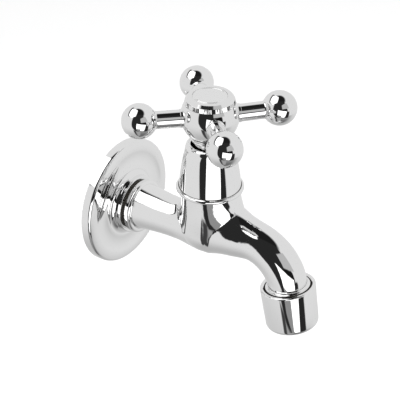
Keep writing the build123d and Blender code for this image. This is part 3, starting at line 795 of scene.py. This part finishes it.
def wall_end(s):
    """The bead at the barrel's end, the land and shank behind it, and the tail's core."""
    bore, tail, inside = 6.5 * MM, 12.5 * MM, -15 * MM
    shank, land = 10.9 * MM, 12.2 * MM
    tail_bevel = 0.4 * MM
    corners = [
        (bore, tail),
        (THREAD_CORE - tail_bevel, tail),
        (THREAD_CORE, tail - tail_bevel),
        (THREAD_CORE, 0.5 * MM),
        (THREAD_RADIUS, 0),
        (shank, 0),
        (shank, FLANGE_LIP),
        (land, FLANGE_LIP),
        (land, BEAD_BACK),
        (s.bead_radius, BEAD_BACK, "round", 0.5 * MM),
        (s.bead_radius, BEAD_FRONT, "round", 1.2 * MM),
        (s.barrel_end - 0.5 * MM, BEAD_FRONT),
        (s.barrel_end - 1.2 * MM, inside),
        (bore, inside),
    ]
    return turned(corners)


def spout_end(s):
    """The shoulder at the spout's end, and the boss below it that is in the nozzle."""
    inside = 3 * MM
    shoulder, shoulder_low = 10.3 * MM, -1.2 * MM
    boss, boss_low = 10.95 * MM, -9 * MM
    corners = [
        (0, inside),
        (s.spout_radius - 0.3 * MM, inside),
        (s.spout_radius - 0.02 * MM, 0.8 * MM),
        (9.9 * MM, 0.0, "arc", -0.23 * MM),
        (shoulder, 0.0, "round", 0.15 * MM),
        (shoulder, shoulder_low),
        (boss, shoulder_low),
        (boss, boss_low),
        (0, boss_low),
    ]
    return turned(corners, closed=False)


class BibTapCasting(Operator):
    """Builds the cast body with its bead, threaded tail and spout end"""

    bl_idname = "bib_tap.casting"
    bl_label = "Cast Body"

    def execute(self, context):
        s = sizes()
        bm = even_casting(context, s)
        trim(bm, s)
        solid = placed_mesh("solid", bm, Matrix.Identity(4))
        ridge = thread_ridge(start=1.4 * MM, turns=5)
        whole = bmesh.new()
        for part in (
            with_chamber(context, solid),
            placed_mesh("wall_end", wall_end(s), on_inlet()),
            placed_mesh("ridge", ridge, on_inlet()),
            placed_mesh("spout_end", spout_end(s), on_nozzle()),
        ):
            whole.from_mesh(part)
            bpy.data.meshes.remove(part)
        piece = make_piece("cast_body", whole, Matrix.Identity(4), "body", ["tap_body"])
        plate(piece, "cast_chrome", waviness=0.03)
        to_nozzle = on_nozzle().inverted()
        near = 0.05 * MM

        # Painted shade: the shank and land inside the flange, and the boss inside the nozzle, get
        # the near-black finish to stand for the shadow in those gaps.
        def is_in_gap_shade(face):
            behind_bead = BEAD_BACK + near < face.center.y < -near
            return behind_bead or (to_nozzle @ face.center).z < -2 * near

        paint_gap_shade(piece, is_in_gap_shade)
        return {"FINISHED"}


class BibTapFlange(Operator):
    """Builds the pressed wall flange"""

    bl_idname = "bib_tap.flange"
    bl_label = "Wall Flange"

    def execute(self, context):
        edge, wall = sizes().flange_radius, 0.9 * MM
        dish, dish_edge = -5.3 * MM, 26.2 * MM
        neck, lip, bore = 13.7 * MM, 14.1 * MM, 11.1 * MM
        corners = [
            (edge, 0),
            (edge, -4.6 * MM, "round", 1.3 * MM),
            (dish_edge, dish),
            (16.8 * MM, dish, "arc", -0.7 * MM),
            (neck, -7.5 * MM, "arc", -0.78 * MM),
            (lip, -7.7 * MM),
            (lip, FLANGE_LIP, "round", 0.5 * MM),
            (bore, FLANGE_LIP),
            (bore, FLANGE_LIP + wall),
            (neck - wall, FLANGE_LIP + wall),
            (neck - wall, -7.0 * MM),
            (16.6 * MM, dish + wall, "arc", 0.6 * MM),
            (dish_edge, dish + wall, "arc", 0.7 * MM),
            (edge - wall, -4.4 * MM + wall, "round", 0.5 * MM),
            (edge - wall, 0),
        ]
        bm = turned(corners, steps=256)
        piece = make_piece("flange_plate", bm, on_inlet(), "body", ["wall_flange"])
        plate(piece, "pressed_chrome", waviness=0.015)
        return {"FINISHED"}


class BibTapShroud(Operator):
    """Builds the bell-shaped shroud over the headwork"""

    bl_idname = "bib_tap.shroud"
    bl_label = "Shroud"

    def execute(self, context):
        s = sizes()
        top, foot = s.shroud_top, 24.0 * MM
        bead = s.shroud_foot - 14.05 * MM
        mouth, foot_bore = 8.5 * MM, 12.7 * MM
        waist, waist_bore, waist_height = 12.7 * MM, 11.7 * MM, 37.0 * MM
        neck, neck_bore, neck_height = 11.1 * MM, 10.1 * MM, 45.0 * MM
        collar_bore, collar_top, collar_low = 9.05 * MM, 34.4 * MM, 29.4 * MM
        corners = [
            (foot_bore, foot),
            (13.9 * MM, foot),
            (14.2 * MM, 25.8 * MM, "arc", -bead),
            (waist, waist_height, "arc", -0.1 * MM),
            (neck, neck_height, "arc", -0.05 * MM),
            (9.6 * MM, top, "arc", -0.4 * MM),
            (mouth, top - 1.0 * MM, "arc", -0.32 * MM),
            (mouth, top - 1.8 * MM),
            (neck_bore, neck_height),
            (waist_bore, waist_height),
            (waist_bore, collar_top),
            (collar_bore, collar_top),
            (collar_bore, collar_low),
            (foot_bore, collar_low),
        ]
        bm = turned(corners, steps=192)
        piece = make_piece("shroud_bell", bm, on_valve(), "body", ["shroud"])
        plate(piece)

        # Painted shade: the shroud's inside gets the near-black finish to stand for the shadow in
        # the gap round its mouth.
        def is_in_gap_shade(face):
            away = Vector((face.center.x, face.center.y + s.valve_distance, 0))
            return face.normal.dot(away) < 0 and face.center.z < top - 1.2 * MM

        paint_gap_shade(piece, is_in_gap_shade)
        return {"FINISHED"}


CAP_SOCKET = 2.1 * MM  # how far the cap goes down into the hub


def bulge_of(radius, chord):
    """How far an arc of a radius stands out from its chord."""
    return radius - math.sqrt(radius**2 - chord**2 / 4)


def arm_outline(s):
    """The corners of an arm: its stud in the hub, its collar, its rod and its ball."""
    stud, stud_end = 2.5 * MM, 7.0 * MM
    collar, collar_start, collar_end = 4.15 * MM, 12.1 * MM, 13.6 * MM
    rod, ball, cove = s.rod_radius, s.ball_radius, 1.3 * MM
    ball_x = s.arm_span / 2 - ball
    tip = ball_x + ball
    cove_x = ball_x - math.sqrt((ball + cove) ** 2 - (rod + cove) ** 2)
    share = ball / (ball + cove)
    meet = ((rod + cove) * share, ball_x + (cove_x - ball_x) * share)
    cove_bulge = bulge_of(cove, math.hypot(meet[0] - rod, meet[1] - cove_x))
    ball_bulge = bulge_of(ball, math.hypot(meet[0], tip - meet[1]))
    return [
        (0, stud_end),
        (stud, stud_end),
        (stud, collar_start),
        (collar, collar_start),
        (collar, collar_end, "round", 0.18 * MM),
        (rod, collar_end),
        (rod, cove_x),
        (*meet, "arc", cove_bulge),
        (0, tip, "arc", -ball_bulge),
    ]


class BibTapHandle(Operator):
    """Builds the handle's hub and its four arms"""

    bl_idname = "bib_tap.handle"
    bl_label = "Handle"

    def execute(self, context):
        s = sizes()
        foot, square_top = 40 * MM, 54 * MM
        bore, screw_bore, socket_bore = 4.1 * MM, 6.2 * MM, 9.8 * MM
        neck, ring, ring_top, waist = 7.4 * MM, 8.6 * MM, 50.6 * MM, 7.8 * MM
        ball_low = 51.4 * MM
        socket_floor = s.cap_seam - CAP_SOCKET
        low_r = math.sqrt(s.hub_radius**2 - (s.hub_height - ball_low) ** 2)
        seam_r = math.sqrt(s.hub_radius**2 - (s.cap_seam - s.hub_height) ** 2)
        bulge = bulge_of(s.hub_radius, math.hypot(seam_r - low_r, s.cap_seam - ball_low))
        corners = [
            (bore, foot),
            (neck, foot),
            (neck, 48.9 * MM),
            (ring, 49.6 * MM, "round", 0.3 * MM),
            (ring, ring_top, "round", 0.4 * MM),
            (waist, ring_top),
            (waist, ball_low),
            (low_r, ball_low),
            (seam_r, s.cap_seam, "arc", -bulge),
            (socket_bore, s.cap_seam),
            (socket_bore, socket_floor),
            (screw_bore, socket_floor),
            (screw_bore, square_top),
            (bore, square_top),
        ]
        bm = turned(corners, steps=192)
        plate(make_piece("hub_ball", bm, on_valve(), "handle", ["handle_hub"]))
        for node, angle in ARM_ANGLES.items():
            bm = turned(arm_outline(s), closed=False, steps=128)
            name = node.replace("arm", "ball_arm")
            plate(make_piece(name, bm, on_arm(angle), "handle", [node]))
        return {"FINISHED"}


def serrate(bm, heights, inside, teeth, depth):
    """Presses grooves into the rings at some heights, beyond a radius."""
    for vertex in bm.verts:
        radius = math.hypot(vertex.co.x, vertex.co.y)
        on_ring = min(abs(vertex.co.z - height) for height in heights) < 0.02 * MM
        if on_ring and radius > inside:
            turn_share = math.atan2(vertex.co.y, vertex.co.x) / math.tau * teeth
            groove = 1 - abs(2 * (turn_share % 1) - 1)
            scale = (radius - depth * groove) / radius
            vertex.co.x *= scale
            vertex.co.y *= scale


class BibTapCap(Operator):
    """Builds the serrated index cap and its bare disc"""

    bl_idname = "bib_tap.cap"
    bl_label = "Index Cap"

    def execute(self, context):
        s = sizes()
        seam, top = s.cap_seam, s.cap_top
        socket_floor, recess = seam - CAP_SOCKET, top - 0.7 * MM
        rim, rim_low, shoulder = 11.35 * MM, seam + 0.1 * MM, seam + 1.95 * MM
        spigot, spigot_bore = 9.75 * MM, 8.55 * MM
        disc_radius, line = 7.7 * MM, 6.9 * MM
        corners = [
            (spigot_bore, socket_floor),
            (spigot, socket_floor),
            (spigot, rim_low),
            (rim, rim_low),
            (10.95 * MM, shoulder),
            (10.72 * MM, shoulder + 0.08 * MM),
            (9.8 * MM, top - 0.1 * MM),
            (9.5 * MM, top - 0.02 * MM),
            (8.0 * MM, top),
            (7.75 * MM, top),
            (7.75 * MM, recess),
            (0, recess),
        ]
        bm = turned(corners, closed=False, steps=4 * s.cap_teeth)
        serrate(bm, (rim_low, shoulder), 10.5 * MM, s.cap_teeth, 0.1 * MM)
        open_edges = [edge for edge in bm.edges if edge.is_boundary]
        bmesh.ops.holes_fill(bm, edges=open_edges, sides=0)
        bmesh.ops.recalc_face_normals(bm, faces=bm.faces)
        plate(make_piece("cap_dome", bm, on_valve(), "handle", ["index_cap"], sharp=18))
        corners = [
            (0, recess),
            (disc_radius, recess),
            (disc_radius, top, "round", 0.2 * MM),
            (line + 0.1 * MM, top),
            (line, top - 0.08 * MM),
            (line - 0.1 * MM, top),
            (0, top + 0.02 * MM),
        ]
        bm = turned(corners, closed=False)
        disc = make_piece("cap_disc", bm, on_valve(), "handle", ["index_disc"])
        bright = metal("disc_metal", finish_settings().disc, roughness=0.12, haze=0.06)
        give(disc, bright)
        return {"FINISHED"}


class BibTapNozzle(Operator):
    """Builds the nozzle housing round the spout's end"""

    bl_idname = "bib_tap.nozzle"
    bl_label = "Nozzle"

    def execute(self, context):
        s = sizes()
        rim, mouth_rim, end = s.nozzle_radius, s.nozzle_radius - 0.65 * MM, s.nozzle_length
        bore, seat_bore, mouth = 11.0 * MM, 10.75 * MM, 9.2 * MM
        bore_end, ledge = -10.5 * MM, 1.2 * MM - end
        corners = [
            (bore, -0.4 * MM),
            (11.4 * MM, 0),
            (rim, 0, "round", 0.7 * MM),
            (mouth_rim, -end, "round", 2.5 * MM),
            (mouth, 0.3 * MM - end, "round", 0.15 * MM),
            (mouth, ledge),
            (seat_bore, ledge),
            (seat_bore, bore_end),
            (bore, bore_end),
        ]
        bm = turned(corners, steps=192)
        piece = make_piece("nozzle_shell", bm, on_nozzle(), "body", ["aerator_housing"])
        plate(piece)
        to_nozzle = on_nozzle().inverted()

        # Painted shade: the housing's bore gets the near-black finish to stand for the shadow in
        # the gap round the spout's end.
        def is_in_gap_shade(face):
            middle = to_nozzle @ face.center
            in_bore = math.hypot(middle.x, middle.y) < bore + 0.05 * MM
            return in_bore and 2 * MM - end < middle.z < -0.2 * MM

        paint_gap_shade(piece, is_in_gap_shade)
        return {"FINISHED"}


class BibTapInside(Operator):
    """Gives the working parts inside their finishes"""

    bl_idname = "bib_tap.inside"
    bl_label = "Inside Parts"

    def execute(self, context):
        f = finish_settings()
        brass = metal("machined_brass", f.brass, roughness=0.22, haze=0.12, pits=0.1)
        steel = metal("bright_steel", (0.62, 0.61, 0.59), roughness=0.2, haze=0.1, pits=0.1)
        rubber = moulded("black_rubber", (0.025, 0.025, 0.027), roughness=0.6, grain=0.3)
        fibre = moulded("red_fibre", (0.30, 0.08, 0.05), roughness=0.75, grain=0.5, mottle=0.4)
        grease = moulded(
            "greased_packing", (0.45, 0.42, 0.36), roughness=0.6, grain=0.6, mottle=0.4
        )
        plastic = moulded("white_plastic", f.plastic, roughness=0.35, grain=0.08, mottle=0.06)
        for material, nodes in (
            (brass, ("headwork", "spindle", "gland_nut", "jumper_valve", "washer_nut")),
            (steel, ("handle_screw", "screw_washer", "aerator_screens")),
            (rubber, ("jumper_washer", "aerator_washer", "shroud_seal")),
            (fibre, ("headwork_washer",)),
            (grease, ("gland_packing",)),
            (plastic, ("aerator_cartridge", "aerator_diffuser", "outlet_grid")),
        ):
            for node in nodes:
                give_node(node, material)
        return {"FINISHED"}


# Stage


# The photograph's view: where the camera is, the way back to it, its turn and its lean
CAMERA_PLACE = Vector((-0.38893792, -0.31132191, 0.31445859))
CAMERA_BACK = Vector((-0.69709428, -0.47565664, 0.53647957))
CAMERA_YAW = -0.97202
CAMERA_ROLL = -0.00565
CAMERA_LENS = 109.18
CAMERA_SIDE = math.radians(56)  # how far round the studio is turned, to face the camera

# Heights and azimuths in the studio are in degrees, and azimuth 0 is the camera's side.
TENT_FADE = (-20.0, -75.0)  # the heights over which the tent darkens downwards
TENT_FOOT = 0.62  # its brightness at the bottom, for that at the top
SHADOW_TOP = (-28.0, -36.0)  # the heights over which the object's own shadow comes in
SHADOW_LEFT = (-34.0, -26.0)  # the azimuths over which it comes in
SHADOW_RIGHT = (110.0, 50.0)
SHADOW_FADE = (-30.0, -70.0, 0.34, 0.15)  # from one height to the other, its brightness
# The dark part of the ceiling: brightness, softness, middle and radius
CEILING = (0.012, 5.0, (-27, 76), 37)
# Each card of the studio: brightness, how soft its edges are, and its corners, each an azimuth and
# a height. Later cards stand before earlier ones.
CARDS = (
    # dark opening on the camera's side, and the column below it
    (0.022, 1.5, (-50, 58), (-48, 20), (-44, -8), (-35, -25), (-18, -38), (46, -36), (50, 62)),
    (0.05, 2.0, (-36, -30), (-22, -34), (-22, -75), (-33, -75)),
    # grey floor in front
    (0.35, 2.0, (-19, -38), (10, -38), (10, -75), (-19, -75)),
    # black bar above the low window
    (0.008, 1.5, (12, 17), (12, -2), (49, -8), (49, 12)),
    # pale patch
    (0.50, 1.5, (14, 42), (14, 17), (60, 12), (60, 46)),
    # high window, and the black arc below its left part
    (0.015, 1.5, (-150, 49), (-150, 36), (-84, 22), (-50, 27), (-48, 36), (-72, 34)),
    (1.6, 1.5, (-140, 46), (-92, 33), (-60, 35), (-34, 56), (-50, 78), (-150, 78)),
    # low window, the dark strip to its right and the grey one below it
    (0.02, 2.0, (43, -4), (60, -6), (60, -42), (30, -42)),
    (1.7, 1.0, (-13, 12), (43, -1), (31, -38), (9, -36), (-16, -24)),
    (0.28, 1.0, (-16, -20), (8, -23), (9, -40), (-14, -32)),
)


def way_to(azimuth, height):
    """The way to a place in the studio, from its azimuth and height in degrees."""
    azimuth, height = math.radians(azimuth), math.radians(height)
    level = math.cos(height)
    return Vector((math.sin(azimuth) * level, -math.cos(azimuth) * level, math.sin(height)))


def card_mask(graph, way, corners, soft):
    """1 inside a flat card with straight edges, and 0 outside it."""
    corners = [way_to(*corner) for corner in corners]
    middle = sum(corners, Vector())
    mask = 1.0
    for first, second in zip(corners, corners[1:] + corners[:1]):
        inward = first.cross(second).normalized()
        if inward.dot(middle) < 0:
            inward.negate()
        side = graph.range(graph.dot(way, tuple(inward)), -soft, soft)
        mask = graph.math("MULTIPLY", mask, side)
    return mask


def grey(brightness):
    return (brightness, brightness, brightness, 1)


def studio_light(graph):
    """The colour of the studio in each direction: a tent, the shadow below, ceiling and cards."""
    spun = graph.node("ShaderNodeVectorRotate", rotation_type="Z_AXIS")
    graph.link(graph.node("ShaderNodeTexCoord").outputs["Generated"], spun.inputs["Vector"])
    spun.inputs["Angle"].default_value = CAMERA_SIDE
    way = spun.outputs[0]
    split = graph.node("ShaderNodeSeparateXYZ")
    graph.link(way, split.inputs[0])
    x, y, z = split.outputs
    azimuth = graph.math("ARCTAN2", x, graph.math("MULTIPLY", y, -1.0))
    azimuth = graph.math("DEGREES", azimuth)
    height = graph.math("DEGREES", graph.math("ARCSINE", z))
    tent = finish_settings().tent
    shade = graph.range(height, *TENT_FADE, tent, tent * TENT_FOOT)
    ahead = graph.math(
        "MULTIPLY", graph.range(azimuth, *SHADOW_LEFT), graph.range(azimuth, *SHADOW_RIGHT)
    )
    shadow = graph.math("MULTIPLY", graph.range(height, *SHADOW_TOP), ahead)
    total = graph.mix(shadow, shade, graph.range(height, *SHADOW_FADE))
    bright, soft, middle, radius = CEILING
    edge = (math.cos(math.radians(radius + soft)), math.cos(math.radians(radius - soft)))
    mask = graph.range(graph.dot(way, tuple(way_to(*middle))), *edge)
    total = graph.mix(mask, total, grey(bright))
    for bright, soft, *corners in CARDS:
        mask = card_mask(graph, way, corners, math.radians(soft))
        total = graph.mix(mask, total, grey(bright))
    return total


def make_studio(scene):
    """Surrounds the tap with the studio, which shows in reflections, and white to the camera."""
    world = bpy.data.worlds.new("studio")
    scene.world = world
    world.use_nodes = True
    world.node_tree.nodes.clear()
    graph = Graph(world.node_tree)
    studio = graph.node("ShaderNodeBackground")
    graph.link(studio_light(graph), studio.inputs["Color"])
    white = graph.node("ShaderNodeBackground")
    white.inputs["Color"].default_value = grey(1)
    white.inputs["Strength"].default_value = 1.05
    chosen = graph.node("ShaderNodeMixShader")
    graph.link(graph.node("ShaderNodeLightPath").outputs["Is Camera Ray"], chosen.inputs[0])
    graph.link(studio.outputs[0], chosen.inputs[1])
    graph.link(white.outputs[0], chosen.inputs[2])
    graph.link(chosen.outputs[0], graph.node("ShaderNodeOutputWorld").inputs["Surface"])


def make_floor(scene):
    """Lays a pale floor well below the tap."""
    bm = bmesh.new()
    bmesh.ops.create_grid(bm, x_segments=1, y_segments=1, size=4.0)
    mesh = placed_mesh("floor", bm, Matrix.Identity(4))
    floor = bpy.data.objects.new("floor", mesh)
    floor.location = (0, 0, -0.3)
    floor.visible_glossy = False
    scene.collection.objects.link(floor)
    pale = bpy.data.materials.new("pale_floor")
    pale.use_nodes = True
    shader = pale.node_tree.nodes["Principled BSDF"]
    shader.inputs["Base Color"].default_value = grey(0.95)
    shader.inputs["Roughness"].default_value = 0.9
    mesh.materials.append(pale)


def make_lamp(scene):
    """Hangs a wide soft light above the tap."""
    light = bpy.data.lights.new("soft_light", "AREA")
    light.size = 2.0
    light.energy = 60
    lamp = bpy.data.objects.new("soft_light", light)
    lamp.location = (-0.6, -0.8, 2.2)
    lit_point = Vector((0, -0.05, 0))
    lamp.rotation_euler = (lit_point - lamp.location).to_track_quat("-Z", "Y").to_euler()
    lamp.visible_glossy = False
    scene.collection.objects.link(lamp)


def make_camera(scene):
    """Sets the camera up at the photograph's viewing angle."""
    camera = bpy.data.cameras.new("camera")
    camera.lens = CAMERA_LENS
    camera.sensor_width = 36.0
    camera.clip_start = 0.01
    viewer = bpy.data.objects.new("camera", camera)
    side = Vector((math.cos(CAMERA_YAW), math.sin(CAMERA_YAW), 0))
    upward = CAMERA_BACK.cross(side)
    right = side * math.cos(CAMERA_ROLL) + upward * math.sin(CAMERA_ROLL)
    up = -side * math.sin(CAMERA_ROLL) + upward * math.cos(CAMERA_ROLL)
    axes = Matrix((right, up, CAMERA_BACK)).transposed()
    viewer.matrix_world = Matrix.Translation(CAMERA_PLACE) @ axes.to_4x4()
    scene.collection.objects.link(viewer)
    scene.camera = viewer


class BibTapStage(Operator):
    """Makes the surroundings, floor, studio light and camera"""

    bl_idname = "bib_tap.stage"
    bl_label = "Stage"

    def execute(self, context):
        scene = context.scene
        scene.view_settings.view_transform = "Standard"
        scene.view_settings.look = "None"
        make_studio(scene)
        make_floor(scene)
        make_lamp(scene)
        make_camera(scene)
        return {"FINISHED"}


OPERATORS = (
    BibTapCasting,
    BibTapFlange,
    BibTapShroud,
    BibTapHandle,
    BibTapCap,
    BibTapNozzle,
    BibTapInside,
    BibTapStage,
)


class BibTapPanel(Panel):
    """Lists the tap's steps and sizes"""

    bl_idname = "VIEW3D_PT_bib_tap"
    bl_label = "Bib Tap"
    bl_space_type = "VIEW_3D"
    bl_region_type = "UI"
    bl_category = "Bib Tap"

    def draw(self, context):
        layout = self.layout
        for step in OPERATORS:
            layout.operator(step.bl_idname)
        for group in (context.scene.bib_tap_sizes, context.scene.bib_tap_finish):
            box = layout.box()
            for name in group.bl_rna.properties.keys():
                if name not in {"rna_type", "name"}:
                    box.prop(group, name)


CLASSES = (BibTapSizes, BibTapFinish, *OPERATORS, BibTapPanel)


def register():
    for kind in CLASSES:
        bpy.utils.register_class(kind)
    bpy.types.Scene.bib_tap_sizes = PointerProperty(type=BibTapSizes)
    bpy.types.Scene.bib_tap_finish = PointerProperty(type=BibTapFinish)


def unregister():
    del bpy.types.Scene.bib_tap_finish
    del bpy.types.Scene.bib_tap_sizes
    for kind in reversed(CLASSES):
        bpy.utils.unregister_class(kind)


def main():
    register()
    for step in OPERATORS:
        group, name = step.bl_idname.split(".")
        getattr(getattr(bpy.ops, group), name)()


if __name__ == "__main__":
    main()
